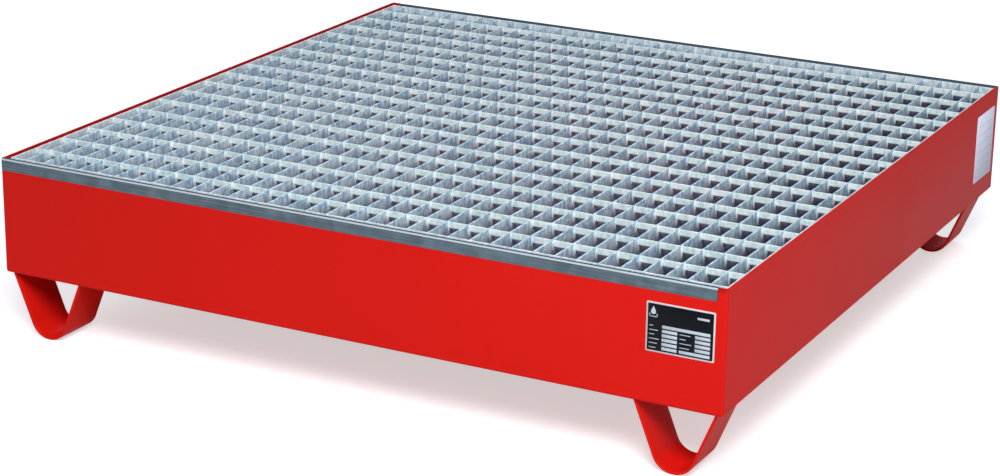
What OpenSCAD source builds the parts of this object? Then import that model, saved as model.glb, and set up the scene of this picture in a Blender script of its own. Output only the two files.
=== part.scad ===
// Spill containment pallet: a folded steel sump on four bent strip feet, with a galvanised
// pressed grating that lifts off two galvanised support rails.
// Millimetres. Origin on the ground under the centre, +Z up, front towards -Y, X along the front.

/* [Sump tank] */
// Overall width, left to right
pallet_w = 1200; // [800:10:1440]
// Overall depth, front to back
pallet_d = 1200; // [800:10:1600]
// Height of the tank's side walls over its underside
tank_h = 185; // [154:1:400]
// Thickness of the tank's steel sheet
sheet_t = 3; // [2:0.5:4]
// Outside radius of the folds
fold_r = 5; // [4.5:0.5:8]
// How far the front and back walls stop below the side walls, which the rails' lips fill
lip_h = 20; // [12:1:30]
// Width of the side walls' return flanges, round the two folded corners
flange_w = 15; // [12:1:40]

/* [Feet] */
// Height of the feet, and of the gap for forks
foot_h = 100; // [80:1:150]
// Outside radius of the foot's rounded sole
foot_r = 34; // [25:1:45]
// How far each limb leans out from upright, in degrees
foot_splay = 22; // [10:1:28]
// Length of a foot along the depth
foot_len = 80; // [50:1:120]
// Thickness of the foot's strip
foot_t = 4; // [3:0.5:8]
// From the tank's side to the top of the outer limb
foot_side_inset = 9; // [6:1:60]
// From the tank's front to the front feet
foot_front_inset = 5; // [5:1:60]
// From the tank's back to the back feet
foot_back_inset = 18; // [5:1:60]
// Leg of the weld beads along the limbs
foot_bead = 4; // [2:0.5:5]

/* [Support rails] */
// Thickness of the rails' sheet
rail_t = 3; // [2:0.5:4]
// How far the ledge under the grating reaches inwards from the wall's outer face
ledge_reach = 40; // [30:1:60]
// Space between a rail and the walls it hangs in
rail_gap = 0.5; // [0.3:0.1:2]
// Space between the end of a rail's lip and the return flange
lip_end_gap = 0.5; // [0.5:0.5:4]

/* [Grating] */
// Height of the bearing bars and the edge bars
bar_h = 30; // [25:1:40]
// Thickness of a bearing bar
bar_t = 3; // [2:0.5:4]
// Spacing of the bearing bars
bar_pitch = 33.4; // [27.8:0.01:60]
// Height of the cross bars
cross_h = 10; // [6:1:14]
// Thickness of a cross bar
cross_t = 2; // [1.5:0.5:3]
// Spacing of the cross bars
cross_pitch = 66.67; // [40:0.01:120]
// How far the middle cross bar lies behind the middle of the grating
cross_offset = 7; // [-15:0.5:15]
// Side clearance of a cross bar in its slot
slot_clearance = 0.1; // [0.05:0.05:0.3]
// Thickness of the edge bars
edge_t = 3; // [2:0.5:5]
// Space between the grating and each side wall
grating_side_gap = 2.5; // [2:0.5:12]
// Space between the grating and the front rail
grating_front_gap = 9.5; // [1:0.5:12]
// Space between the grating and the back rail
grating_back_gap = 1.5; // [1:0.5:12]
// How far the grating's top lies below the top of the side walls
grating_drop = 3; // [1:0.5:8]
// Narrowest cell that is left beside an edge bar
edge_cell = 12; // [8:1:20]

/* [Welds] */
// Leg of the fillet weld in the two welded corners
corner_bead = 4; // [2:0.5:6]
// Width of the flat bead behind each flange seam
seam_bead_w = 8; // [4:0.5:12]
// Height of that bead over the wall
seam_bead_h = 1.5; // [0.5:0.5:3]
// How far the weld beads stop short of the floor's folds and of the rails
bead_end_gap = 3; // [2:0.5:10]

/* [Plate and label] */
// Width of the type plate
plate_w = 101.5; // [60:0.5:160]
// Height of the type plate
plate_h = 72; // [40:1:90]
// Thickness of the type plate
plate_t = 0.8; // [0.5:0.1:2]
// From the folded corner to the type plate
plate_side_inset = 16; // [10:1:80]
// From the top of the side walls to the type plate
plate_drop = 36; // [32:1:60]
// Width of the label on the right wall, along the depth
label_w = 95; // [50:1:160]
// Height of the label
label_h = 118; // [50:1:140]
// Thickness of the label's film
label_t = 0.3; // [0.2:0.1:0.5]
// From the back of the tank to the label
label_end_inset = 14; // [10:1:80]
// From the top of the side walls to the label
label_drop = 31; // [10:1:50]

/* [Colours] */
// Powder coat on the tank and feet
coat_colour = "#d61f1a"; // ["#d61f1a", "#1f4fa0", "#2f7a3c"]
// Galvanised steel
zinc_colour = "#b9c4c8"; // ["#b9c4c8", "#9aa5aa"]

/* [Hidden] */
// Segments of a full round
$fn = 96;
// Overrun of a cutter past the face that it cuts
cut = 1;

tank_z = foot_h;
top_z = tank_z + tank_h;
lip_z = top_z - lip_h;
grating_top_z = top_z - grating_drop;
ledge_z = grating_top_z - bar_h;
// From a wall's outer face to the leg of its rail
leg_y = sheet_t + rail_gap;

grating_w = pallet_w - 2 * (sheet_t + grating_side_gap);
grating_d = pallet_d - 2 * (leg_y + rail_t) - grating_front_gap - grating_back_gap;
// Middle of the grating, which is pushed towards the back
grating_y = (grating_front_gap - grating_back_gap) / 2;
inside_w = grating_w - 2 * edge_t;
inside_d = grating_d - 2 * edge_t;

// Bars that fit each side of the middle one
bars_each_side = floor((inside_w / 2 - edge_cell - bar_t / 2) / bar_pitch);
bar_count = 2 * bars_each_side + 1;
crosses_each_side = floor((inside_d / 2 - abs(cross_offset) - edge_cell - cross_t / 2)
                          / cross_pitch);

// Half the width of a foot over its limbs, at the tank's underside
foot_half_w = foot_r * cos(foot_splay)
            + (foot_h - foot_r + foot_r * sin(foot_splay)) * tan(foot_splay);
foot_x = pallet_w / 2 - foot_side_inset - foot_half_w;

// Ends of the upright beads inside the tank
bead_low_z = tank_z + fold_r + bead_end_gap;
bead_high_z = ledge_z - rail_t - bead_end_gap;

// Middle of the front (-1) or back (1) feet
function foot_y(end) =
    end * (pallet_d / 2 - (end < 0 ? foot_front_inset : foot_back_inset) - foot_len / 2);

// Places of the cross bars, from the middle of the grating
cross_places = [for (k = [-crosses_each_side:crosses_each_side]) cross_offset + k * cross_pitch];

function bar_name(i) = str("bearing_bar_", i < 10 ? "0" : "", i);

// ---- shared shapes ----

// A copy of the children as they are, and one turned half round about the Z axis
module half_turn_pair() {
    children();
    rotate([0, 0, 180]) children();
}

// Upright outline of the tank along one of its directions: square at the top, and
// rounded at both bottom corners
module pan_outline(width, inset) {
    r = fold_r - inset;
    low = tank_z + inset;
    union() {
        translate([-width / 2 + inset, low + r])
            square([width - 2 * inset, top_z + inset - low - r]);
        translate([-width / 2 + fold_r, low])
            square([width - 2 * fold_r, r + cut]);
        for (side = [-1, 1])
            translate([side * (width / 2 - fold_r), low + r])
                circle(r);
    }
}

// Outline of the tank from above: two opposite corners are folded round, and the other
// two are welded square
module plan_outline(inset) {
    r = fold_r - inset;
    x = pallet_w / 2 - inset;
    y = pallet_d / 2 - inset;
    difference() {
        square([2 * x, 2 * y], center = true);
        half_turn_pair()
            translate([x - r, -y - cut])
                square([r + cut, r + cut]);
    }
    half_turn_pair()
        translate([x - r, -y + r])
            circle(r);
}

// The tank as a solid block, drawn in by an inset on its sides and underside
module tank_block(inset) {
    intersection() {
        rotate([90, 0, 0])
            linear_extrude(height = pallet_d - 2 * inset, center = true)
                pan_outline(pallet_w, inset);
        rotate([90, 0, 90])
            linear_extrude(height = pallet_w - 2 * inset, center = true)
                pan_outline(pallet_d, inset);
        translate([0, 0, tank_z])
            linear_extrude(height = tank_h + inset)
                plan_outline(inset);
    }
}

// ---- the tank ----

// One sheet folded up on all four sides. The front and back walls are lowered for the
// rails' lips, as far as the return flange at their folded end.
module sump_tank() {
    color(coat_colour)
        difference() {
            tank_block(0);
            tank_block(sheet_t);
            half_turn_pair()
                translate([-pallet_w / 2 - cut, -pallet_d / 2 - cut, lip_z])
                    cube([pallet_w - flange_w + cut, sheet_t + cut, lip_h + cut]);
        }
}

// Fillet beads inside the two welded corners, and flat beads behind the two flange seams
module tank_seam_welds() {
    bead_len = bead_high_z - bead_low_z;
    wall_x = pallet_w / 2 - sheet_t;
    wall_y = pallet_d / 2 - sheet_t;
    color(coat_colour)
        half_turn_pair() {
            translate([-wall_x, -wall_y, bead_low_z])
                linear_extrude(height = bead_len)
                    polygon([[0, 0], [corner_bead, 0], [0, corner_bead]]);
            translate([pallet_w / 2 - flange_w, -wall_y, bead_low_z])
                linear_extrude(height = bead_len)
                    polygon([[-seam_bead_w / 2, 0], [seam_bead_w / 2, 0],
                             [seam_bead_w / 4, seam_bead_h], [-seam_bead_w / 4, seam_bead_h]]);
        }
}

// ---- the feet ----

// Filled outline of a foot: a round sole with two limbs that lean out to the tank
module foot_outline(inset) {
    r = foot_r - inset;
    limb_x = r * cos(foot_splay);
    limb_z = foot_r - r * sin(foot_splay);
    top_x = limb_x + (foot_h + inset - limb_z) * tan(foot_splay);
    translate([0, foot_r])
        circle(r);
    polygon([[-limb_x, limb_z], [limb_x, limb_z],
             [top_x, foot_h + inset], [-top_x, foot_h + inset]]);
}

module foot(side, end) {
    color(coat_colour)
        translate([side * foot_x, foot_y(end), 0])
            rotate([90, 0, 0])
                linear_extrude(height = foot_len, center = true)
                    difference() {
                        foot_outline(0);
                        foot_outline(foot_t);
                    }
}

// Fillet beads on both faces of both limbs, where they meet the tank's underside
module foot_welds(side, end) {
    inner_half_w = foot_half_w - foot_t / cos(foot_splay);
    drop_x = foot_bead * tan(foot_splay);
    color(coat_colour)
        translate([side * foot_x, foot_y(end), 0])
            rotate([90, 0, 0])
                linear_extrude(height = foot_len, center = true)
                    for (limb = [0, 1])
                        mirror([limb, 0]) {
                            polygon([[foot_half_w, foot_h], [foot_half_w + foot_bead, foot_h],
                                     [foot_half_w - drop_x, foot_h - foot_bead]]);
                            polygon([[inner_half_w, foot_h], [inner_half_w - foot_bead, foot_h],
                                     [inner_half_w - drop_x, foot_h - foot_bead]]);
                        }
}

// ---- the rails under the grating ----

// A folded rail hangs on the lowered wall: its lip carries the wall's face up to full
// height, its seat lies on the wall's edge, and its ledge carries the grating
module support_rail() {
    leg_h = lip_z + 2 * rail_t - ledge_z;
    welded_x = -pallet_w / 2 + leg_y;
    lip_end_x = pallet_w / 2 - flange_w - lip_end_gap;
    folded_x = pallet_w / 2 - max(leg_y, fold_r);
    color(zinc_colour)
        translate([0, -pallet_d / 2, 0]) {
            // Lip and seat, from the welded corner to just short of the return flange
            translate([-pallet_w / 2, 0, lip_z])
                cube([pallet_w / 2 + lip_end_x, rail_t, lip_h]);
            translate([welded_x, 0, lip_z])
                cube([lip_end_x - welded_x, leg_y + rail_t, rail_t]);
            // Leg and ledge, from the welded corner to the fold of the other one
            translate([welded_x, leg_y, ledge_z - rail_t])
                cube([folded_x - welded_x, rail_t, leg_h]);
            translate([welded_x, leg_y, ledge_z - rail_t])
                cube([folded_x - welded_x, ledge_reach - leg_y, rail_t]);
        }
}

module front_support_rail() {
    support_rail();
}

module back_support_rail() {
    rotate([0, 0, 180]) support_rail();
}

// ---- the plate and the label ----

module type_plate() {
    color("#16171a")
        translate([pallet_w / 2 - plate_side_inset - plate_w, -pallet_d / 2 - plate_t,
                   top_z - plate_drop - plate_h])
            cube([plate_w, plate_t, plate_h]);
}

module side_label() {
    color("#dfe2ea")
        translate([pallet_w / 2, pallet_d / 2 - label_end_inset - label_w,
                   top_z - label_drop - label_h])
            cube([label_t, label_w, label_h]);
}

// ---- the grating ----

// One bearing bar, front to back, with an open slot for each cross bar
module bearing_bar(i) {
    slot_w = cross_t + 2 * slot_clearance;
    x = (i - 1 - bars_each_side) * bar_pitch;
    color(zinc_colour)
        translate([x - bar_t / 2, grating_y, ledge_z])
            rotate([90, 0, 90])
                linear_extrude(height = bar_t)
                    difference() {
                        translate([-inside_d / 2, 0])
                            square([inside_d, bar_h]);
                        for (y = cross_places)
                            translate([y - slot_w / 2, bar_h - cross_h])
                                square([slot_w, cross_h + cut]);
                    }
}

// The cross bars, left to right, flush with the tops of the bearing bars
module cross_bars() {
    color(zinc_colour)
        for (y = cross_places)
            translate([-inside_w / 2, grating_y + y - cross_t / 2, grating_top_z - cross_h])
                cube([inside_w, cross_t, cross_h]);
}

// An edge bar across the ends of the bearing bars, at the front (-1) or the back (1)
module end_edge_bar(end) {
    color(zinc_colour)
        translate([0, grating_y + end * (grating_d - edge_t) / 2, ledge_z + bar_h / 2])
            cube([grating_w, edge_t, bar_h], center = true);
}

// An edge bar across the ends of the cross bars, at the left (-1) or the right (1)
module side_edge_bar(side) {
    color(zinc_colour)
        translate([side * (grating_w - edge_t) / 2, grating_y, ledge_z + bar_h / 2])
            cube([edge_t, inside_d, bar_h], center = true);
}

sump_tank();
tank_seam_welds();
foot(-1, -1);  // foot_front_left
foot(1, -1);  // foot_front_right
foot(-1, 1);  // foot_back_left
foot(1, 1);  // foot_back_right
foot_welds(-1, -1);  // foot_welds_front_left
foot_welds(1, -1);  // foot_welds_front_right
foot_welds(-1, 1);  // foot_welds_back_left
foot_welds(1, 1);  // foot_welds_back_right
front_support_rail();
back_support_rail();
type_plate();
side_label();
for (i = [1:bar_count])
    bearing_bar(i);
cross_bars();
end_edge_bar(-1);  // edge_bar_front
end_edge_bar(1);  // edge_bar_back
side_edge_bar(-1);  // edge_bar_left
side_edge_bar(1);  // edge_bar_right
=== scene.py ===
"""Looks of a spill containment pallet: a powder coated steel sump on bent strip feet, under a
lift-off hot-dip galvanised grating.

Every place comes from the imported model's boxes. Lengths are metres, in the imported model's frame:
+Z up, the front towards -Y and the ground at zero.
"""

import logging
import math
from dataclasses import dataclass, field
from enum import Enum

import bmesh
import bpy
import numpy as np
from mathutils import Matrix, Vector


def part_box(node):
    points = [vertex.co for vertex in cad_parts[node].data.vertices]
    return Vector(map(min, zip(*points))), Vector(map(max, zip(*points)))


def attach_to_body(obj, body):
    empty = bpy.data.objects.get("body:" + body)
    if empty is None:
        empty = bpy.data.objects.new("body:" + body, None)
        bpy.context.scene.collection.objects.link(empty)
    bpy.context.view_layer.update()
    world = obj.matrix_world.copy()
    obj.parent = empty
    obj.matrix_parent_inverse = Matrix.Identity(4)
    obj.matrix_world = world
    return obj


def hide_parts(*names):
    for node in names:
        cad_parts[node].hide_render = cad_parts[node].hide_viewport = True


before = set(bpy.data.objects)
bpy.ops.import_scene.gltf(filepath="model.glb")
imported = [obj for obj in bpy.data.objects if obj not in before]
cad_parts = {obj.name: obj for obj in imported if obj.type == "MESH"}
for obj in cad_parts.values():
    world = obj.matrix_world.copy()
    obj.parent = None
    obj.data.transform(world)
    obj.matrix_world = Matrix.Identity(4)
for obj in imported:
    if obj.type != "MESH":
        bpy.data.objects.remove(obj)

LOG = logging.getLogger("pallet")
MM = 0.001
SEED = 20
FOOT_SEED = 40
PALLET_BODY = "pallet"
GRATING_BODY = "grating"
# Sockets of the Mix node in its colour mode, which share their names with others
MIX_FACTOR, MIX_A, MIX_B, MIX_RESULT = 0, 6, 7, 2
# Angles between faces over which an edge stays sharp, on tubes and on folded sheet
TUBE_SHARP = math.radians(50)
SHEET_SHARP = math.radians(30)

Tree = bpy.types.NodeTree
Socket = bpy.types.NodeSocket
Material = bpy.types.Material


class Side(Enum):
    """The left or right of the pallet, as the sign of X."""

    LEFT = -1
    RIGHT = 1


class End(Enum):
    """The front or back of the pallet, as the sign of Y."""

    FRONT = -1
    BACK = 1


# ---- nodes and colours ----


def linear(hex_colour: str) -> tuple[float, float, float, float]:
    """Turns an sRGB hex colour to linear light.

    Args:
        hex_colour: six hex digits after a hash.

    Returns:
        Red, green, blue and a full alpha.
    """
    coded = np.array([int(hex_colour[i:i + 2], 16) / 255 for i in (1, 3, 5)])
    light = np.where(coded <= 0.04045, coded / 12.92, ((coded + 0.055) / 1.055) ** 2.4)
    return (*light.tolist(), 1.0)


def add_node(tree: Tree, kind: str, inputs: dict | None = None, **settings) -> bpy.types.Node:
    """Adds one node with its settings, values and links.

    Args:
        tree: the tree that gets the node.
        kind: the node type's identifier.
        inputs: socket name or index to a value, or to the output socket that feeds it.
        **settings: the node's own properties.

    Returns:
        The new node.
    """
    node = tree.nodes.new(kind)
    for name, value in settings.items():
        setattr(node, name, value)
    for socket, value in (inputs or {}).items():
        if isinstance(value, Socket):
            tree.links.new(value, node.inputs[socket])
        else:
            node.inputs[socket].default_value = value
    return node


def new_material(name: str) -> tuple[Material, Tree, Socket]:
    """Starts a node material that reads Object coordinates.

    Args:
        name: the material's name.

    Returns:
        The material, its emptied tree and the Object coordinate socket.
    """
    material = bpy.data.materials.new(name)
    material.use_nodes = True
    tree = material.node_tree
    tree.nodes.clear()
    place = add_node(tree, "ShaderNodeTexCoord").outputs["Object"]
    return material, tree, place


def mixed(tree: Tree, share: Socket, base: Socket | str, over: Socket | str) -> Socket:
    """Mixes two colours.

    Args:
        tree: the material's tree.
        share: share of the second colour.
        base: the first colour, as a socket or as sRGB hex.
        over: the second colour, likewise.

    Returns:
        The mixed colour.
    """
    under, upper = (c if isinstance(c, Socket) else linear(c) for c in (base, over))
    return add_node(tree, "ShaderNodeMix", {MIX_FACTOR: share, MIX_A: under, MIX_B: upper},
                    data_type="RGBA").outputs[MIX_RESULT]


def ranged(tree: Tree, value: Socket, start: float, full: float, low: float | Socket = 0.0,
           high: float = 1.0) -> Socket:
    """Turns a value that goes from start to full into one that goes from low to high."""
    return add_node(tree, "ShaderNodeMapRange", {
        "Value": value, "From Min": start, "From Max": full, "To Min": low,
        "To Max": high}).outputs[0]


def maths(tree: Tree, operation: str, *values: Socket | float) -> Socket:
    """Does one sum on values and sockets."""
    return add_node(tree, "ShaderNodeMath", dict(enumerate(values)),
                    operation=operation).outputs[0]


def noise(tree: Tree, place: Socket, size_mm: float, detail: float,
          roughness: float = 0.5) -> Socket:
    """Soft noise with lumps of about the given size."""
    return add_node(tree, "ShaderNodeTexNoise", {
        "Vector": place, "Scale": 1 / (size_mm * MM), "Detail": detail,
        "Roughness": roughness}).outputs[0]


def drawn_noise(tree: Tree, place: Socket, scale: tuple[float, float, float], size_mm: float,
                roughness: float = 0.5) -> Socket:
    """Noise drawn out along the axes whose scale is under one."""
    drawn = add_node(tree, "ShaderNodeMapping", {"Vector": place, "Scale": scale})
    return noise(tree, drawn.outputs[0], size_mm, 3.0, roughness)


def spangle(tree: Tree, place: Socket, size_mm: float, feature: str) -> Socket:
    """One random value for each crystal of a zinc skin."""
    cells = add_node(tree, "ShaderNodeTexVoronoi", {
        "Vector": place, "Scale": 1 / (size_mm * MM)}, feature=feature)
    return add_node(tree, "ShaderNodeSeparateColor", {"Color": cells.outputs["Color"]}).outputs[0]


def close_material(tree: Tree, inputs: dict, height: Socket | None = None,
                   relief: tuple[float, float] = (0.0, 0.0)) -> None:
    """Ends a material in a Principled shader.

    Args:
        tree: the material's tree.
        inputs: the shader's socket names, each to a value or a socket.
        height: what its bump follows, if it has any.
        relief: the bump's strength, and its depth in millimetres.
    """
    if height is not None:
        strength, depth_mm = relief
        inputs["Normal"] = add_node(tree, "ShaderNodeBump", {
            "Height": height, "Strength": strength, "Distance": depth_mm * MM}).outputs[0]
    shader = add_node(tree, "ShaderNodeBsdfPrincipled", inputs)
    add_node(tree, "ShaderNodeOutputMaterial", {"Surface": shader.outputs[0]})


# ---- finishes ----


@dataclass(frozen=True)
class PowderCoat:
    """Polyester powder coat, electrostatically sprayed and baked on steel sheet.

    It is a smooth half-gloss paint film: an even colour with a faint orange peel, scuffed where
    the grating and the ground rub it, with painted shade, a darker red, in the gap beside the
    grating.
    """

    name: str = "powder_coat_red"
    colour: str = "#d81a12"
    deep_colour: str = "#ce1710"
    scuff_colour: str = "#8a2620"
    gap_shade_colour: str = "#5a1216"
    roughness: float = 0.38
    specular: float = 0.055
    # Waves of the orange peel; real ones are about 1.5 mm, too fine to show
    peel_mm: float = 3.2
    peel_relief: tuple[float, float] = (0.12, 0.15)
    tone_mm: float = 260.0
    scuff_mm: float = 4.0
    scuff_grain: tuple[float, float] = (0.56, 0.66)
    # Bands under the rim and over the ground that the scuffs reach
    rim_mm: float = 1.2
    sole_mm: float = 3.0
    # The painted shade's depth under the rim, its strength, and how far from the walls' outer faces
    # it starts and is full
    gap_shade_mm: float = 9.0
    gap_shade_share: float = 0.4
    gap_shade_in_mm: tuple[float, float] = (2.6, 2.9)

    def material(self, rim_x: float, rim_z: float) -> Material:
        """Builds the paint.

        Args:
            rim_x: distance of the side walls' outer faces from the middle of the pallet.
            rim_z: height of the tank's rim, where the grating scuffs it.

        Returns:
            The node material.
        """
        material, tree, place = new_material(self.name)
        tone = noise(tree, place, self.tone_mm, 2.0)
        tint = mixed(tree, tone, self.colour, self.deep_colour)
        x, _, height = add_node(tree, "ShaderNodeSeparateXYZ", {"Vector": place}).outputs
        at_rim = ranged(tree, height, rim_z - self.rim_mm * MM, rim_z)
        at_sole = ranged(tree, height, self.sole_mm * MM, 0.0)
        rubbed = maths(tree, "MAXIMUM", at_rim, at_sole)
        spots = ranged(tree, noise(tree, place, self.scuff_mm, 4.0, 0.6), *self.scuff_grain)
        scuffed = mixed(tree, maths(tree, "MULTIPLY", rubbed, spots), tint, self.scuff_colour)
        # Painted shade: a darker red on the tank a few millimetres under the rim, inward of the side
        # walls' outer skins, where the gap beside the grating lies
        start, full = (rim_x - depth * MM for depth in self.gap_shade_in_mm)
        inside = ranged(tree, maths(tree, "ABSOLUTE", x), start, full)
        shade_in_gap = ranged(tree, height, rim_z - self.gap_shade_mm * MM, rim_z - self.gap_shade_mm / 2 * MM,
                        0.0, self.gap_shade_share)
        colour = mixed(tree, maths(tree, "MULTIPLY", inside, shade_in_gap), scuffed, self.gap_shade_colour)
        rough = ranged(tree, tone, 0.0, 1.0, self.roughness - 0.03, self.roughness + 0.04)
        close_material(tree, {"Base Color": colour, "Roughness": rough,
                              "Specular IOR Level": self.specular},
                       noise(tree, place, self.peel_mm, 1.0), self.peel_relief)
        return material


@dataclass(frozen=True)
class HotDipZinc:
    """Zinc from a hot dip bath on bar grating.

    A bright grey metal skin with crystal spangle, pale oxide bloom, runs down the upright faces
    and a lumpy surface. Low on the bars it turns to a dark blue-grey, which is painted shade.
    """

    name: str
    bright: str = "#dcf1f9"
    dull: str = "#91b2ca"
    bloom: str = "#ecf6f8"
    low_shade: str = "#3b4c6e"
    # Depths under the top edges at which the painted shade starts and is full
    low_shade_mm: tuple[float, float] = (7.0, 25.0)
    low_shade_share: float = 0.88
    spangle_mm: float = 7.0
    spangle_share: float = 0.35
    # Runs are noise drawn out ten times along Z
    run_mm: float = 5.0
    run_scale: tuple[float, float, float] = (1.0, 1.0, 0.1)
    mottle: tuple[float, float] = (0.5, 0.88)
    bloom_mm: float = 22.0
    bloom_grain: tuple[float, float] = (0.52, 0.72)
    bloom_share: float = 0.7
    lump_mm: float = 2.6
    lump_relief: tuple[float, float] = (0.5, 0.35)
    roughness: float = 0.5
    metallic: float = 0.15

    def material(self, top_z: float) -> Material:
        """Builds the zinc skin.

        Args:
            top_z: height of the bars' top edges.

        Returns:
            The node material.
        """
        material, tree, place = new_material(self.name)
        crystal = spangle(tree, place, self.spangle_mm, "F1")
        runs = drawn_noise(tree, place, self.run_scale, self.run_mm, 0.65)
        mottle = maths(tree, "MULTIPLY_ADD", crystal, self.spangle_share, runs)
        skin = mixed(tree, ranged(tree, mottle, *self.mottle), self.dull, self.bright)
        cloud = noise(tree, place, self.bloom_mm, 5.0, 0.6)
        bloomed = ranged(tree, cloud, *self.bloom_grain, 0.0, self.bloom_share)
        pale = mixed(tree, bloomed, skin, self.bloom)
        height = add_node(tree, "ShaderNodeSeparateXYZ", {"Vector": place}).outputs["Z"]
        # Painted shade: the skin darkens to blue-grey with depth under the bars' top edges
        start, full = (top_z - depth * MM for depth in self.low_shade_mm)
        low = ranged(tree, height, start, full, 0.0, self.low_shade_share)
        colour = mixed(tree, low, pale, self.low_shade)
        rough = ranged(tree, mottle, 0.3, 1.1, self.roughness + 0.14, self.roughness - 0.1)
        close_material(tree, {"Base Color": colour, "Roughness": rough,
                              "Metallic": self.metallic},
                       noise(tree, place, self.lump_mm, 3.0), self.lump_relief)
        return material


@dataclass(frozen=True)
class GalvanisedSheet:
    """Mill-galvanised sheet, rolled before it is folded.

    A dull blue-grey skin with large soft spangle, and fine rolling lines along its length. A
    highlight is painted on the lip's bend, and shade on the flat top behind it.
    """

    name: str = "galvanised_sheet"
    light: str = "#6e818b"
    dark: str = "#505f69"
    wear_and_highlight: str = "#dfe9ef"
    shaded: str = "#33414c"
    spangle_mm: float = 14.0
    spangle_share: float = 0.4
    # Rolling lines are noise drawn out fifty times along X
    line_mm: float = 2.2
    line_scale: tuple[float, float, float] = (0.02, 1.0, 1.0)
    line_relief: tuple[float, float] = (0.2, 0.1)
    mottle: tuple[float, float] = (0.4, 1.0)
    roughness: float = 0.42
    metallic: float = 0.5
    # Band under the lip's top edge, over the bend, where a highlight is painted: its lower and upper
    # limits, and how far in from the lip's outer face it starts and is full
    bend_mm: tuple[float, float] = (4.0, 1.4)
    bend_in_mm: tuple[float, float] = (1.4, 0.7)
    bend_roughness: float = 0.3
    # How softly the band starts and ends, and where the painted shade on the flat top beyond it
    # starts
    bend_fade_mm: tuple[float, float] = (1.2, 0.8)
    top_fade_mm: float = 0.6

    def material(self, rim_y: float, rim_z: float) -> Material:
        """Builds the sheet's skin.

        Args:
            rim_y: distance of the lip's outer face from the middle of the pallet.
            rim_z: height of the lip's top edge, under which a highlight is painted on its bend.

        Returns:
            The node material.
        """
        material, tree, place = new_material(self.name)
        crystal = spangle(tree, place, self.spangle_mm, "SMOOTH_F1")
        lines = drawn_noise(tree, place, self.line_scale, self.line_mm)
        mottle = maths(tree, "MULTIPLY_ADD", crystal, self.spangle_share, lines)
        skin = mixed(tree, ranged(tree, mottle, *self.mottle), self.dark, self.light)
        _, y, height = add_node(tree, "ShaderNodeSeparateXYZ", {"Vector": place}).outputs
        deep, shallow = (rim_z - below * MM for below in self.bend_mm)
        fade_in, fade_out = self.bend_fade_mm
        rising = ranged(tree, height, deep, deep + fade_in * MM)
        falling = ranged(tree, height, shallow + fade_out * MM, shallow)
        start, full = (rim_y - depth * MM for depth in self.bend_in_mm)
        outside = ranged(tree, maths(tree, "ABSOLUTE", y), start, full)
        # Painted highlight: a pale band on the lip's rounded bend; painted shade: a dark tone on the
        # flat top behind it
        edge = maths(tree, "MULTIPLY", maths(tree, "MULTIPLY", rising, falling), outside)
        on_top = ranged(tree, height, shallow, shallow + self.top_fade_mm * MM)
        colour = mixed(tree, edge, mixed(tree, on_top, skin, self.shaded), self.wear_and_highlight)
        matt = ranged(tree, mottle, 0.0, 1.0, self.roughness + 0.1, self.roughness - 0.06)
        rough = ranged(tree, edge, 0.0, 1.0, matt, self.bend_roughness)
        close_material(tree, {"Base Color": colour, "Roughness": rough,
                              "Metallic": self.metallic}, lines, self.line_relief)
        return material


@dataclass(frozen=True)
class PrintedFilm:
    """Screen print or vinyl film on a plate or label: a thin even ink with faint wear."""

    name: str
    colour: str
    wear_and_highlight: str
    roughness: float
    grain_mm: float = 6.0
    wear_grain: tuple[float, float] = (0.45, 0.8)
    wear_share: float = 0.6
    grain_relief: tuple[float, float] = (0.05, 0.1)
    specular: float = 0.12

    def material(self) -> Material:
        """Builds the ink or film.

        Returns:
            The node material.
        """
        material, tree, place = new_material(self.name)
        grain = noise(tree, place, self.grain_mm, 4.0)
        wear = ranged(tree, grain, *self.wear_grain, 0.0, self.wear_share)
        rough = ranged(tree, grain, 0.0, 1.0, self.roughness - 0.05, self.roughness + 0.12)
        close_material(tree, {"Base Color": mixed(tree, wear, self.colour, self.wear_and_highlight),
                              "Roughness": rough, "Specular IOR Level": self.specular},
                       grain, self.grain_relief)
        return material


@dataclass(frozen=True)
class FloorPaint:
    """Pale matt paint on the studio floor, with a glow that only the camera sees."""

    name: str = "studio_floor"
    colour: str = "#e3e3e3"
    shade: str = "#dfdfe0"
    glow_colour: str = "#ffffff"
    glow: float = 0.55
    roughness: float = 0.7
    cloud_mm: float = 1000 / 0.6

    def material(self) -> Material:
        """Builds the floor's paint.

        Returns:
            The node material.
        """
        material, tree, place = new_material(self.name)
        colour = mixed(tree, noise(tree, place, self.cloud_mm, 2.0), self.colour, self.shade)
        seen = add_node(tree, "ShaderNodeLightPath").outputs["Is Camera Ray"]
        close_material(tree, {"Base Color": colour, "Roughness": self.roughness,
                              "Emission Color": linear(self.glow_colour),
                              "Emission Strength": maths(tree, "MULTIPLY", seen, self.glow)})
        return material


# ---- surfaces ----


def rounded_rectangle(width: float, height: float, radius: float, turns: int = 3,
                      spans: tuple[int, int] = (1, 1)) -> np.ndarray:
    """Points round a rectangle with round corners, anticlockwise.

    Each corner is a quarter circle of the radius about a centre that lies one radius inside
    both of its sides, and each side between two corners is cut into equal spans.

    Args:
        width: size along the first axis.
        height: size along the second axis.
        radius: corner radius.
        turns: steps in each quarter circle.
        spans: spans in the sides along the first and second axes.

    Returns:
        An array of points, one row each.
    """
    corner = np.linspace(0, math.pi / 2, turns + 1)
    signs = np.array([(1, 1), (-1, 1), (-1, -1), (1, -1)])
    centres = signs * (width / 2 - radius, height / 2 - radius)
    angles = corner[None, :] + np.arange(4)[:, None] * math.pi / 2
    arcs = centres[:, None, :] + radius * np.stack([np.cos(angles), np.sin(angles)], axis=-1)
    parts = []
    for k, count in enumerate((spans[0], spans[1]) * 2):
        steps = np.linspace(0, 1, count + 1)[1:-1, None]
        parts += [arcs[k], arcs[k][-1] + steps * (arcs[(k + 1) % 4][0] - arcs[k][-1])]
    return np.concatenate(parts)


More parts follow.
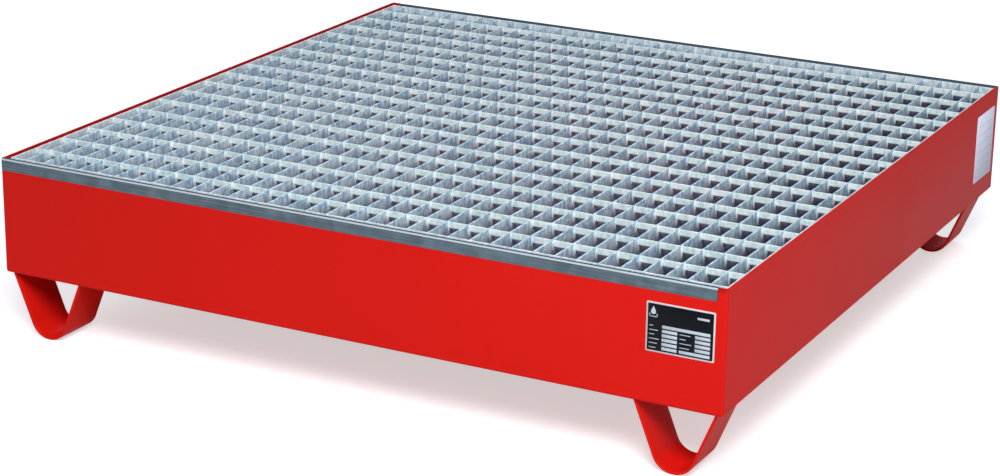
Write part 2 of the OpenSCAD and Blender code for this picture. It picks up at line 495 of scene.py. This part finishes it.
def tube_faces(tubes: int, stations: int, ring: int) -> list[list[int]]:
    """Faces of closed tubes whose points are numbered tube by tube and ring by ring.

    Point j of ring i joins point j + 1 of the same ring and both of the next ring, and a flat
    cap closes each end. With rings anticlockwise about the way they advance, all face outwards.

    Args:
        tubes: how many tubes.
        stations: rings in each tube.
        ring: points in each ring.

    Returns:
        Lists of point numbers.
    """
    start = (np.arange(tubes) * stations * ring)[:, None, None]
    along = (np.arange(stations - 1) * ring)[None, :, None]
    here = np.arange(ring)[None, None, :]
    after = (here + 1) % ring
    near = start + along
    quads = np.stack([near + here, near + after, near + ring + after, near + ring + here],
                     axis=-1).reshape(-1, 4)
    first = (start[:, 0] + np.arange(ring)[None, ::-1])
    last = (start[:, 0] + (stations - 1) * ring + np.arange(ring)[None, :])
    return quads.tolist() + first.tolist() + last.tolist()


def corners(node: str) -> tuple[np.ndarray, np.ndarray]:
    """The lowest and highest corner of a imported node."""
    low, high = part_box(node)
    return np.array(low), np.array(high)


def smooth(mesh: bpy.types.Mesh, sharp: float) -> None:
    """Shades a mesh smooth, but for edges over the sharp angle."""
    mesh.polygons.foreach_set("use_smooth", np.ones(len(mesh.polygons), dtype=bool))
    mesh.set_sharp_from_angle(angle=sharp)


def link_mesh(name: str, mesh: bpy.types.Mesh) -> bpy.types.Object:
    """Makes an object of a mesh and puts it in the scene."""
    piece = bpy.data.objects.new(name, mesh)
    bpy.context.scene.collection.objects.link(piece)
    return piece


def new_piece(name: str, points: np.ndarray, faces: list[list[int]],
              material: Material) -> bpy.types.Object:
    """Makes a mesh object at the origin, smooth but for its caps and sharp edges.

    Args:
        name: the piece's name.
        points: vertices, one row each.
        faces: lists of vertex numbers.
        material: the piece's finish.

    Returns:
        The new object.
    """
    mesh = bpy.data.meshes.new(name)
    mesh.from_pydata(points.reshape(-1, 3).tolist(), [], faces)
    mesh.materials.append(material)
    smooth(mesh, TUBE_SHARP)
    mesh.update()
    return link_mesh(name, mesh)


def tube_piece(name: str, points: np.ndarray, material: Material) -> bpy.types.Object:
    """Makes one piece of one or more closed tubes.

    Args:
        name: the piece's name.
        points: an array of tubes x stations x ring x 3, or of stations x ring x 3.
        material: the piece's finish.

    Returns:
        The new object.
    """
    points = points if points.ndim == 4 else points[None]
    return new_piece(name, points, tube_faces(*points.shape[:3]), material)


def attach(piece: bpy.types.Object, body: str, slot: str, *nodes: str) -> None:
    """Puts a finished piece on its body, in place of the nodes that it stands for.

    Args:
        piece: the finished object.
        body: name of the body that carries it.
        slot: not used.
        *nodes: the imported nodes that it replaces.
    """
    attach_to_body(piece, body)
    if nodes:
        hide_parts(*nodes)
    LOG.info("%s: %d faces on %s", piece.name, len(piece.data.polygons), body)


def eased_copy(node: str, name: str, material: Material, edge: float) -> bpy.types.Object:
    """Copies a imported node's mesh, merges its loose triangles and eases its sharp edges.

    Args:
        node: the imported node.
        name: name of the new piece.
        material: the piece's finish.
        edge: width of the eased edges.

    Returns:
        The new object, with a Bevel modifier.
    """
    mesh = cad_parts[node].data.copy()
    mesh.name = name
    shape = bmesh.new()
    shape.from_mesh(mesh)
    bmesh.ops.remove_doubles(shape, verts=shape.verts, dist=0.002 * MM)
    bmesh.ops.dissolve_limit(shape, angle_limit=math.radians(0.5), verts=shape.verts,
                             edges=shape.edges)
    shape.to_mesh(mesh)
    shape.free()
    mesh.materials.clear()
    mesh.materials.append(material)
    smooth(mesh, SHEET_SHARP)
    piece = link_mesh(name, mesh)
    bevel = piece.modifiers.new("eased_edges", "BEVEL")
    bevel.width = edge
    bevel.segments = 3
    bevel.limit_method = "ANGLE"
    bevel.angle_limit = SHEET_SHARP
    bevel.harden_normals = True
    return piece


def waves(across: np.ndarray, along: np.ndarray, pitches: tuple[float, ...],
          random: np.random.Generator) -> np.ndarray:
    """Smooth random relief between about -1 and 1.

    For each pitch it adds a sine of a slanted phase, which is the first coordinate over the
    pitch times a random slope, plus the second over the pitch, plus a random start.

    Args:
        across: first coordinate.
        along: second coordinate, of the same shape.
        pitches: wave lengths, from the longest.
        random: the source of slopes and starts.

    Returns:
        Heights of the same shape.
    """
    relief = np.zeros(np.broadcast(across, along).shape)
    for pitch in pitches:
        slope, start = random.uniform(-1.5, 1.5), random.uniform(0, 2 * math.pi)
        relief += np.sin(2 * math.pi * (across * slope + along) / pitch + start)
    return relief / len(pitches)


# ---- the pallet's sub-assemblies ----


@dataclass
class SumpTank:
    """The folded sheet tank and the weld beads inside it."""

    paint: Material
    edge: float = 0.7 * MM
    bead_radius: float = 3.2 * MM
    # How far a bead's middle stands in from the corner of the walls, so that it stays inside
    bead_stand: float = 0.7 * MM
    ripple_pitch: float = 3.5 * MM
    random: np.random.Generator = field(default_factory=lambda: np.random.default_rng(SEED))

    def build(self) -> None:
        """Makes the tank and its beads."""
        attach(eased_copy("sump_tank", "folded_sump_tank", self.paint, self.edge),
               PALLET_BODY, "powder_coat", "sump_tank")
        low, high = corners("tank_seam_welds")
        seams = np.array([low[:2] + self.bead_stand, high[:2] - self.bead_stand])
        tops = np.column_stack([seams, np.full(2, high[2])])
        bottoms = np.column_stack([seams, np.full(2, low[2])])
        attach(weld_beads("tank_corner_beads", bottoms, tops, self.bead_radius,
                          self.ripple_pitch, self.paint, self.random),
               PALLET_BODY, "powder_coat", "tank_seam_welds")


def weld_beads(name: str, starts: np.ndarray, ends: np.ndarray, radius: float, pitch: float,
               material: Material, random: np.random.Generator) -> bpy.types.Object:
    """Weld beads along straight seams, with the scales that the arc leaves.

    Each ring is a circle about the seam. Its radius swells and falls once in every pitch, as
    the size of a sine does, and it shrinks to a blunt end over the last two radii.

    Args:
        name: the piece's name.
        starts: one end of each seam, one row each.
        ends: the other ends.
        radius: the bead's radius.
        pitch: spacing of the scales.
        material: the piece's finish.
        random: the source of each bead's first scale.

    Returns:
        The new object.
    """
    seam = ends - starts
    length = np.linalg.norm(seam, axis=1)
    way = seam / length[:, None]
    aside = np.cross(way, np.where(abs(way[:, [2]]) > 0.9, (1.0, 0, 0), (0, 0, 1.0)))
    up = np.cross(way, aside)
    stations = int(length.max() / pitch * 4)
    s = np.linspace(0, 1, stations)[None, :] * length[:, None]
    shift = random.uniform(0, pitch, len(length))[:, None]
    scale = 0.86 + 0.14 * abs(np.sin(math.pi * (s + shift) / pitch))
    blunt = np.sqrt(np.clip(np.minimum(s, length[:, None] - s) / (2 * radius) + 0.08, 0, 1))
    angle = np.linspace(0, 2 * math.pi, 12, endpoint=False)
    circle = (np.cos(angle)[None, :, None] * aside[:, None, :]
              + np.sin(angle)[None, :, None] * up[:, None, :])
    rings = (radius * scale * blunt)[:, :, None, None] * circle[:, None, :, :]
    centres = starts[:, None, :] + s[:, :, None] * way[:, None, :]
    return tube_piece(name, centres[:, :, None, :] + rings, material)


@dataclass
class StripFoot:
    """One foot: a flat strip bent to a round sole with two leaning limbs, and its welds."""

    side: Side
    end: End
    paint: Material
    sole_radius: float = 34 * MM
    splay: float = math.radians(22)
    strip: float = 4 * MM
    edge: float = 0.9 * MM
    bead_radius: float = 2.6 * MM
    ripple_pitch: float = 3.2 * MM

    @property
    def place(self) -> str:
        """The foot's corner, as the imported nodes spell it."""
        return f"{self.end.name}_{self.side.name}".lower()

    def centre_line(self) -> tuple[np.ndarray, np.ndarray]:
        """The strip's middle, from one end over the sole to the other, and its direction.

        The sole is an arc of the sole radius less half the strip, about a point one sole radius
        up. It spans from the splay angle over the left horizontal to the same on the right,
        and a straight limb runs on from each end of it, up to the tank.

        Returns:
            Points in X and Z about the foot's middle, and unit directions at them.
        """
        low, high = corners(f"foot_{self.place}")
        radius = self.sole_radius - self.strip / 2
        turn = np.linspace(math.pi + self.splay, 2 * math.pi - self.splay, 41)
        arc = np.column_stack([np.cos(turn), np.sin(turn)]) * radius + (0, self.sole_radius)
        heading = np.column_stack([-np.sin(turn), np.cos(turn)])
        rise = high[2] - low[2] - arc[-1, 1]
        steps = np.linspace(1, 0, 8, endpoint=False)[:, None] * rise / heading[-1, 1]
        left = arc[0] - heading[0] * steps
        right = arc[-1] + heading[-1] * steps[::-1]
        ways = [np.tile(heading[0], (8, 1)), heading, np.tile(heading[-1], (8, 1))]
        return np.concatenate([left, arc, right]), np.concatenate(ways)

    def build(self) -> None:
        """Sweeps the strip's rounded section along its centre line, and adds the beads.

        A ring is the section laid out along Y and along the line's normal. The first and last
        rings slide along their limbs until they lie in the tank's underside.
        """
        low, high = corners(f"foot_{self.place}")
        middle = (low + high) / 2
        line, heading = self.centre_line()
        normal = np.column_stack([-heading[:, 1], heading[:, 0]])
        section = rounded_rectangle(high[1] - low[1], self.strip, self.edge, 3, (6, 1))
        flat = line[:, None, :] + section[None, :, 1, None] * normal[:, None, :]
        slide = (high[2] - flat[[0, -1], :, 1]) / heading[[0, -1], 1][:, None]
        flat[[0, -1]] += slide[:, :, None] * heading[[0, -1]][:, None, :]
        depth = np.broadcast_to(section[None, :, 0], flat.shape[:2])
        points = np.stack([flat[..., 0] + middle[0], depth + middle[1], flat[..., 1]], axis=-1)
        attach(tube_piece(f"bent_foot_{self.place}", points, self.paint),
               PALLET_BODY, "powder_coat", f"foot_{self.place}")
        self.build_beads(low, high)

    def build_beads(self, low: np.ndarray, high: np.ndarray) -> None:
        """Makes the beads on both faces of both limbs.

        Args:
            low: lowest corner of the foot.
            high: highest corner of the foot.
        """
        limb = self.strip / math.cos(self.splay)
        inset = 0.25 * self.bead_radius
        seams = np.array([low[0] - inset, low[0] + limb + inset,
                          high[0] - limb - inset, high[0] + inset])
        reach = self.bead_radius
        starts = np.column_stack([seams, np.full(4, low[1] + reach),
                                  np.full(4, high[2] - 0.4 * reach)])
        ends = starts + (0, high[1] - low[1] - 2 * reach, 0)
        random = np.random.default_rng(FOOT_SEED + 10 * self.side.value + self.end.value)
        attach(weld_beads(f"foot_beads_{self.place}", starts, ends, self.bead_radius,
                          self.ripple_pitch, self.paint, random),
               PALLET_BODY, "powder_coat", f"foot_welds_{self.place}")


@dataclass
class SupportRails:
    """The two folded rails that hang on the tank's lowered walls."""

    zinc: Material
    edge: float = 0.25 * MM
    bend: float = 2.6 * MM

    def round_lip(self, mesh: bpy.types.Mesh, end: End) -> None:
        """Rounds the outer top edge of a rail's lip, where the sheet is bent over.

        Args:
            mesh: the rail's mesh, merged.
            end: the end of the pallet that the rail is at.
        """
        shape = bmesh.new()
        shape.from_mesh(mesh)
        top = max(v.co.z for v in shape.verts)
        out = max(end.value * v.co.y for v in shape.verts)
        bent = [e for e in shape.edges
                if all(v.co.z > top - 0.01 * MM and end.value * v.co.y > out - 0.01 * MM
                       for v in e.verts)]
        bmesh.ops.bevel(shape, geom=bent, offset=self.bend, segments=6, profile=0.5,
                        affect="EDGES")
        shape.to_mesh(mesh)
        shape.free()
        smooth(mesh, SHEET_SHARP)

    def build(self) -> None:
        """Makes both rails."""
        for end in End:
            place = end.name.lower()
            rail = eased_copy(f"{place}_support_rail", f"folded_rail_{place}", self.zinc,
                              self.edge)
            self.round_lip(rail.data, end)
            attach(rail, PALLET_BODY, "rail_zinc", f"{place}_support_rail")


@dataclass
class Grating:
    """The lift-off grating: bearing bars, cross bars, edge bars and the zinc between them."""

    zinc: Material
    pale_zinc: Material
    cross_zinc: Material
    highlight_zinc: Material
    edge: float = 0.8 * MM
    relief: float = 0.16 * MM
    station: float = 6 * MM
    cross_t: float = 2 * MM
    # How far the cross bars' tops lie under the bearing bars', so that no faces coincide
    sink: float = 0.25 * MM
    fillet: float = 3.1 * MM
    drips: int = 150
    random: np.random.Generator = field(
        default_factory=lambda: np.random.default_rng(SEED + 1))

    def __post_init__(self) -> None:
        """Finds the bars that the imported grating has."""
        self.bars = sorted(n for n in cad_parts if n.startswith("bearing_bar_"))
        boxes = np.array([[tuple(v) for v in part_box(n)] for n in self.bars])
        self.bar_x = boxes[:, :, 0].mean(axis=1)
        self.bar_low, self.bar_high = boxes[0]
        low, high = corners("cross_bars")
        self.cross_low, self.cross_high = low, high
        across = round((high[1] - low[1]) / (2 * (self.bar_x[1] - self.bar_x[0]))) + 1
        self.cross_y = np.linspace(low[1] + self.cross_t / 2, high[1] - self.cross_t / 2, across)

    def bar_points(self, low: np.ndarray, high: np.ndarray, axis: int) -> np.ndarray:
        """Surface of one galvanised bar.

        The rounded section is carried along the bar. Every point then moves outwards along its
        section by the zinc's relief, which fades to nothing at both ends.

        Args:
            low: lowest corner of the bar.
            high: highest corner of the bar.
            axis: 0 for a bar along X, or 1 along Y.

        Returns:
            Points, stations x ring x 3.
        """
        size, middle = high - low, (low + high) / 2
        thin = size[1 - axis]
        section = rounded_rectangle(thin, size[2], min(self.edge, 0.42 * thin), 3, (1, 5))
        along = np.linspace(0, 1, int(size[axis] / self.station) + 1) * size[axis]
        height = section[None, :, 1]
        relief = waves(height, along[:, None], (61 * MM, 23 * MM, 11 * MM), self.random)
        fade = np.clip(np.minimum(along, size[axis] - along) / (12 * MM), 0, 1)[:, None]
        outward = section / np.linalg.norm(section / (thin, size[2]), axis=1)[:, None]
        outward /= np.linalg.norm(outward, axis=1)[:, None]
        side = np.sign(section[:, 0])[None, :]
        points = np.empty((len(along), len(section), 3))
        swell = self.relief * fade * relief
        points[..., 1 - axis] = middle[1 - axis] + section[None, :, 0] + side * swell
        points[..., axis] = (low[axis] + along)[:, None]
        points[..., 2] = middle[2] + height + swell * outward[None, :, 1]
        return points if axis == 1 else points[:, ::-1]

    def build_bars(self) -> None:
        """Makes every bearing bar, the cross bars and the four edge bars."""
        for name in self.bars:
            low, high = corners(name)
            piece = tube_piece(f"galvanised_{name}", self.bar_points(low, high, 1)[:, ::-1],
                               self.zinc)
            attach(piece, GRATING_BODY, "grating_zinc", name)
        rows = []
        for y in self.cross_y:
            low = self.cross_low * (1, 0, 1) + (0, y - self.cross_t / 2, -self.sink)
            high = self.cross_high * (1, 0, 1) + (0, y + self.cross_t / 2, -self.sink)
            rows.append(self.bar_points(low, high, 0)[:, ::-1])
        attach(tube_piece("galvanised_cross_bars", np.stack(rows), self.cross_zinc),
               GRATING_BODY, "grating_zinc", "cross_bars")
        for place, axis in (("front", 0), ("back", 0), ("left", 1), ("right", 1)):
            name = f"edge_bar_{place}"
            low, high = corners(name)
            attach(tube_piece(f"galvanised_{name}", self.bar_points(low, high, axis)[:, ::-1],
                              self.pale_zinc), GRATING_BODY, "grating_zinc", name)

    def spindles(self, foot: np.ndarray, length: np.ndarray, radius: np.ndarray, belly: float,
                 stations: int, ring: int) -> np.ndarray:
        """Upright blobs of zinc, thick at one height and drawn out to both ends.

        The radius at a share s of the height is the full radius times the square root of
        (s / belly) below the belly, and of (1 - s) / (1 - belly) over it.

        Args:
            foot: lowest point of each blob.
            length: height of each blob.
            radius: full radius of each blob.
            belly: the share of its height at which a blob is thickest.
            stations: rings in a blob.
            ring: points in a ring.

        Returns:
            Points, blobs x stations x ring x 3.
        """
        s = np.linspace(0.015, 0.985, stations)
        swell = np.sqrt(np.minimum(s / belly, (1 - s) / (1 - belly)))
        angle = np.linspace(0, 2 * math.pi, ring, endpoint=False)
        reach = radius[:, None, None] * swell[None, :, None]
        points = np.empty((len(foot), stations, ring, 3))
        points[..., 0] = foot[:, 0, None, None] + reach * np.cos(angle)
        points[..., 1] = foot[:, 1, None, None] + reach * np.sin(angle)
        points[..., 2] = foot[:, 2, None, None] + (length[:, None] * s[None, :])[:, :, None]
        return points

    def build_fillets(self) -> None:
        """Makes the zinc that gathers in the corners where bars meet."""
        bar_half = (self.bar_high[0] - self.bar_low[0]) / 2
        top = self.cross_high[2] - 0.1 * MM
        x, y, sx, sy = np.meshgrid(self.bar_x, self.cross_y, (-1, 1), (-1, 1), indexing="ij")
        px = (x + sx * (bar_half + 0.2 * MM)).ravel()
        py = (y + sy * (self.cross_t / 2 + 0.2 * MM)).ravel()
        length = self.random.uniform(13, 21, px.size) * MM
        radius = self.fillet * self.random.uniform(0.6, 1.05, px.size)
        foot = np.column_stack([px, py, top - length])
        # Painted highlight: the fillets take a near-white copy of the bar zinc
        attach(tube_piece("zinc_in_the_crossings",
                          self.spindles(foot, length, radius, 0.72, 5, 6), self.highlight_zinc),
               GRATING_BODY, "grating_zinc")
        low, high = self.bar_low, self.bar_high
        x, y, sx = np.meshgrid(self.bar_x, (low[1], high[1]), (-1, 1), indexing="ij")
        ends = [np.column_stack([(x + sx * bar_half).ravel(), y.ravel()])]
        x, y, sy = np.meshgrid((self.cross_low[0], self.cross_high[0]), self.cross_y, (-1, 1),
                               indexing="ij")
        ends.append(np.column_stack([x.ravel(), (y + sy * self.cross_t / 2).ravel()]))
        tall = np.repeat([high[2] - low[2], self.cross_high[2] - self.cross_low[2]],
                         [len(e) for e in ends])
        places = np.concatenate(ends)
        length = tall - 1.2 * MM
        foot = np.column_stack([places, high[2] - 0.6 * MM - length])
        radius = self.random.uniform(1.4, 2.0, len(places)) * MM
        attach(tube_piece("zinc_at_the_edge_bars",
                          self.spindles(foot, length, radius, 0.5, 8, 8), self.pale_zinc),
               GRATING_BODY, "grating_zinc")

    def build_drips(self) -> None:
        """Makes the drips under the bearing bars and the beads of zinc on their top edges."""
        keep = 60 * MM
        low, high = self.bar_low, self.bar_high
        x = self.random.choice(self.bar_x, self.drips)
        y = self.random.uniform(low[1] + keep, high[1] - keep, self.drips)
        length = self.random.uniform(2.0, 5.5, self.drips) * MM
        under = np.column_stack([x, y, low[2] + 0.8 * MM - length])
        radius = self.random.uniform(0.8, 1.5, self.drips) * MM
        hanging = self.spindles(under, length, radius, 0.8, 6, 8)
        x = self.random.choice(self.bar_x, self.drips) + self.random.uniform(-1, 1, self.drips) * MM
        y = self.random.uniform(low[1] + keep, high[1] - keep, self.drips)
        tall = self.random.uniform(1.2, 2.6, self.drips) * MM
        over = np.column_stack([x, y, high[2] - 0.65 * tall])
        radius = self.random.uniform(0.8, 2.0, self.drips) * MM
        standing = self.spindles(over, tall, radius, 0.5, 6, 8)
        attach(tube_piece("zinc_drips", np.concatenate([hanging, standing]), self.pale_zinc),
               GRATING_BODY, "grating_zinc")

    def build(self) -> None:
        """Makes the whole grating."""
        self.build_bars()
        self.build_fillets()
        self.build_drips()


# ---- the plate and the label ----


@dataclass(frozen=True)
class Panel:
    """A flat upright panel on a wall, and the way from its own places to the pallet's.

    Across runs to the right and up runs upwards as one faces the wall, each from 0 to 1 over
    the panel, and out runs away from the wall.
    """

    corner: tuple[float, float, float]
    across: tuple[float, float, float]
    out: tuple[float, float, float]
    width: float
    height: float

    def slabs(self, marks: np.ndarray, floor: float, thick: float, radius: float,
              edge: float) -> np.ndarray:
        """Thin slabs with round corners and eased faces, laid on the panel.

        Each slab is a stack of three rounded rectangles: the full outline at its floor, the
        same just under its face, and the outline drawn in by the edge at its face.

        Args:
            marks: left, bottom, right and top of each slab, as shares of the panel.
            floor: distance of the slabs' backs from the wall.
            thick: thickness of the slabs.
            radius: radius of their corners.
            edge: how far the face is drawn in.

        Returns:
            Points, slabs x 3 x ring x 3.
        """
        across, out, up = np.array(self.across), np.array(self.out), np.array((0, 0, 1.0))
        found = []
        for left, bottom, right, top in marks:
            wide, high = (right - left) * self.width, (top - bottom) * self.height
            middle = (np.array(self.corner) + across * (left + right) / 2 * self.width
                      + up * (bottom + top) / 2 * self.height)
            rings = []
            for drawn_in, rise in ((0, 0), (0, thick - edge), (edge, thick)):
                outline = rounded_rectangle(wide - 2 * drawn_in, high - 2 * drawn_in,
                                            radius - drawn_in, 3)
                rings.append(middle + outline[:, :1] * across + outline[:, 1:] * up
                             + out * (floor + rise))
            found.append(rings)
        return np.array(found)


@dataclass
class TypePlate:
    """The printed aluminium plate on the front wall, with blank fields and plain lines."""

    metal: Material
    ink: Material
    light_ink: Material
    base: float = 0.66 * MM
    print_t: float = 0.07 * MM
    # How far the light marks are sunk in the dark print
    sunk: float = 0.02 * MM
    row_pitch: float = 0.087
    row_height: float = 0.060

    def fields(self) -> np.ndarray:
        """Blank fields: one long, two columns of short ones, and a long one at the foot."""
        rows = 0.50 - self.row_pitch * np.arange(6)
        left = [(0.236, y, 0.458, y + self.row_height) for y in rows[1:]]
        right = [(0.716, y, 0.935, y + self.row_height) for y in rows[1:5]]
        ends = [(0.236, rows[0], 0.935, rows[0] + self.row_height),
                (0.490, rows[5], 0.935, rows[5] + self.row_height)]
        return np.array(left + right + ends)

    def captions(self) -> np.ndarray:
        """Plain lines where captions would stand, each with a length of its own."""
        rows = 0.50 + 0.35 * self.row_height - self.row_pitch * np.arange(6)
        lengths = (0.055, 0.130, 0.075, 0.145, 0.120, 0.100)
        left = [(0.050, y, 0.050 + n, y + 0.014) for y, n in zip(rows, lengths)]
        middle = [(0.492, y, 0.492 + 1.2 * n, y + 0.014)
                  for y, n in zip(rows[1:5], lengths[1:5])]
        return np.array([*left, *middle, (0.740, 0.800, 0.915, 0.845)])

    def drop(self, panel: Panel, floor: float) -> np.ndarray:
        """A pictogram of a drop over a tray.

        The drop's half width at an angle a from its foot is its radius times sin a times the
        square of cos half a, so that it is round below and pointed above.

        Args:
            panel: the plate's panel.
            floor: distance of the pictogram's back from the wall.

        Returns:
            Points of one slab, 2 x ring x 3.
        """
        angle = np.linspace(0.0, 2 * math.pi, 32, endpoint=False)
        tall = 0.085 * panel.height
        x = 0.95 * tall * np.sin(angle) * np.cos(angle / 2) ** 2
        z = -tall * np.cos(angle)
        middle = (np.array(panel.corner) + np.array(panel.across) * 0.105 * panel.width
                  + (0, 0, 0.84 * panel.height))
        outline = middle + x[:, None] * np.array(panel.across) + z[:, None] * np.array((0, 0, 1))
        out = np.array(panel.out)
        return np.stack([outline + out * floor, outline + out * (floor + self.print_t)])

    def build(self) -> None:
        """Makes the plate, its dark print and its light marks."""
        low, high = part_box("type_plate")
        panel = Panel((low.x, high.y, low.z), (1, 0, 0), (0, -1, 0), high.x - low.x,
                      high.z - low.z)
        whole = np.array([(0, 0, 1, 1)])
        inner = np.array([(0.024, 0.034, 0.976, 0.966)])
        marks = np.concatenate([self.fields(), self.captions()])
        tray = np.array([(0.045, 0.700, 0.165, 0.716), (0.045, 0.700, 0.057, 0.770),
                         (0.153, 0.700, 0.165, 0.770)])
        thick, eased = self.print_t, 0.02 * MM
        over = self.base + thick - self.sunk
        layers = (
            ("metal", panel.slabs(whole, 0, self.base, 2 * MM, 0.2 * MM), self.metal,
             ("type_plate",)),
            ("dark_print", panel.slabs(inner, self.base, thick, 1.2 * MM, 0.03 * MM), self.ink,
             ()),
            ("fields", panel.slabs(marks, over, thick, 0.25 * MM, eased), self.light_ink, ()),
            ("drop", self.drop(panel, over), self.light_ink, ()),
            ("tray", panel.slabs(tray, over, thick, 0.3 * MM, eased), self.light_ink, ()))
        for name, points, finish, nodes in layers:
            attach(tube_piece(f"type_plate_{name}", points, finish), PALLET_BODY, "plate", *nodes)


@dataclass
class SideLabel:
    """The pale film label on the right wall, blank but for a frame of ruled lines."""

    film: Material
    line: Material
    base: float = 0.2 * MM
    print_t: float = 0.05 * MM

    def build(self) -> None:
        """Makes the film and its ruled lines."""
        low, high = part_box("side_label")
        panel = Panel((low.x, low.y, low.z), (0, 1, 0), (1, 0, 0), high.y - low.y,
                      high.z - low.z)
        attach(tube_piece("side_label_film",
                          panel.slabs(np.array([(0, 0, 1, 1)]), 0, self.base, 3 * MM,
                                      0.08 * MM), self.film),
               PALLET_BODY, "label", "side_label")
        rows = np.linspace(0.18, 0.82, 6)
        lines = np.array([(0.10, z, 0.90, z + 0.012) for z in rows])
        attach(tube_piece("side_label_lines",
                          panel.slabs(lines, self.base - 0.01 * MM, self.print_t, 0.3 * MM,
                                      0.02 * MM), self.line), PALLET_BODY, "label")


# ---- the studio ----


@dataclass
class Studio:
    """A pale floor, soft lights and the camera."""

    paint: Material
    location: tuple[float, float, float] = (1.800, -3.588, 1.426)
    azimuth: float = math.radians(26.74)
    elevation: float = math.radians(18.63)
    roll: float = math.radians(1.05)
    lens: float = 92.46
    shift: tuple[float, float] = (-0.0236, 0.0054)
    floor_reach: float = 60.0
    sky_colour: str = "#d9e8fb"
    sky_strength: float = 0.26
    # What the lights face
    middle: tuple[float, float, float] = (0, 0, 0.2)

    def build_camera(self) -> None:
        """Puts the camera in front, to the right and over the pallet, looking down on it."""
        data = bpy.data.cameras.new("camera")
        data.lens = self.lens
        data.sensor_width = 36.0
        data.shift_x, data.shift_y = self.shift
        data.clip_end = 100.0
        camera = bpy.data.objects.new("camera", data)
        bpy.context.scene.collection.objects.link(camera)
        ahead = Vector((-math.sin(self.azimuth) * math.cos(self.elevation),
                        math.cos(self.azimuth) * math.cos(self.elevation),
                        -math.sin(self.elevation)))
        turned = ahead.to_track_quat("-Z", "Y").to_matrix() @ Matrix.Rotation(self.roll, 3, "Z")
        camera.location = self.location
        camera.rotation_mode = "QUATERNION"
        camera.rotation_quaternion = turned.to_quaternion()
        bpy.context.scene.camera = camera

    def add_light(self, name: str, place: tuple[float, float, float], size: float,
                  power: float, colour: str) -> None:
        """Adds a square soft light that faces the middle of the pallet.

        Args:
            name: the light's name.
            place: where it stands.
            size: side of the square.
            power: watts.
            colour: its colour, as sRGB hex.
        """
        data = bpy.data.lights.new(name, "AREA")
        data.size = size
        data.energy = power
        data.color = linear(colour)[:3]
        light = bpy.data.objects.new(name, data)
        light.location = place
        light.rotation_mode = "QUATERNION"
        facing = Vector(self.middle) - Vector(place)
        light.rotation_quaternion = facing.to_track_quat("-Z", "Y")
        bpy.context.scene.collection.objects.link(light)

    def build(self) -> None:
        """Makes the floor, the sky and the lights."""
        outline = self.floor_reach * np.array([(-1, -1, 0), (1, -1, 0), (1, 1, 0), (-1, 1, 0)])
        floor = new_piece("studio_floor", outline, [[0, 1, 2, 3]], self.paint)
        world = bpy.data.worlds.new("studio_sky")
        world.use_nodes = True
        world.node_tree.nodes.clear()
        sky = add_node(world.node_tree, "ShaderNodeBackground", {
            "Color": linear(self.sky_colour), "Strength": self.sky_strength})
        add_node(world.node_tree, "ShaderNodeOutputWorld", {"Surface": sky.outputs[0]})
        bpy.context.scene.world = world
        self.add_light("key", (1.85, -3.2, 3.6), 2.0, 245.0, "#fbfdfd")
        self.add_light("back_fill", (-2.6, 3.4, 2.8), 3.0, 62.0, "#f4f9ff")
        bpy.context.scene.view_settings.view_transform = "Standard"
        self.build_camera()


def main() -> None:
    """Builds the pallet's pieces in order, then the studio."""
    logging.basicConfig(level=logging.INFO, format="%(message)s")
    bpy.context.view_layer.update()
    rim_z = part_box("sump_tank")[1].z
    paint = PowderCoat().material(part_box("sump_tank")[1].x, rim_z)
    top_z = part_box("cross_bars")[1].z
    zinc = HotDipZinc("bar_zinc").material(top_z)
    pale_zinc = HotDipZinc("pale_bar_zinc", bright="#ecf4f7", dull="#bccbd6",
                           bloom="#f3f7f8").material(top_z)
    # Painted light: the cross bars' zinc is a lighter copy of the bar zinc, for the light on their
    # front faces; its dark band low down is painted shade
    cross_zinc = HotDipZinc("cross_bar_zinc", bright="#f0fbf7", dull="#c8dedf",
                            bloom="#f8fbf9", low_shade_mm=(8.0, 10.5), metallic=0.08).material(top_z)
    # Painted highlight: a near-white copy of the bar zinc for the fillets in the crossings
    highlight_zinc = HotDipZinc("highlight_zinc", bright="#f8fbfb", dull="#dbe6ec",
                            bloom="#f8fbfb").material(top_z)
    SumpTank(paint).build()
    for end in End:
        for side in Side:
            StripFoot(side, end, paint).build()
    rim_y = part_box("back_support_rail")[1].y
    SupportRails(GalvanisedSheet().material(rim_y, rim_z)).build()
    Grating(zinc, pale_zinc, cross_zinc, highlight_zinc).build()
    ink = PrintedFilm("black_ink", "#101218", "#191c22", 0.34).material()
    light_ink = PrintedFilm("light_ink", "#b9c4cd", "#a6b1bb", 0.42).material()
    border = PrintedFilm("plate_border", "#cdc6c7", "#bdb8bb", 0.38).material()
    TypePlate(border, ink, light_ink).build()
    film = PrintedFilm("label_film", "#eeecfb", "#d5dae8", 0.45, 30.0).material()
    line = PrintedFilm("label_line", "#d0d6e2", "#c4ccd9", 0.45).material()
    SideLabel(film, line).build()
    Studio(FloorPaint().material()).build()


if __name__ == "__main__":
    main()
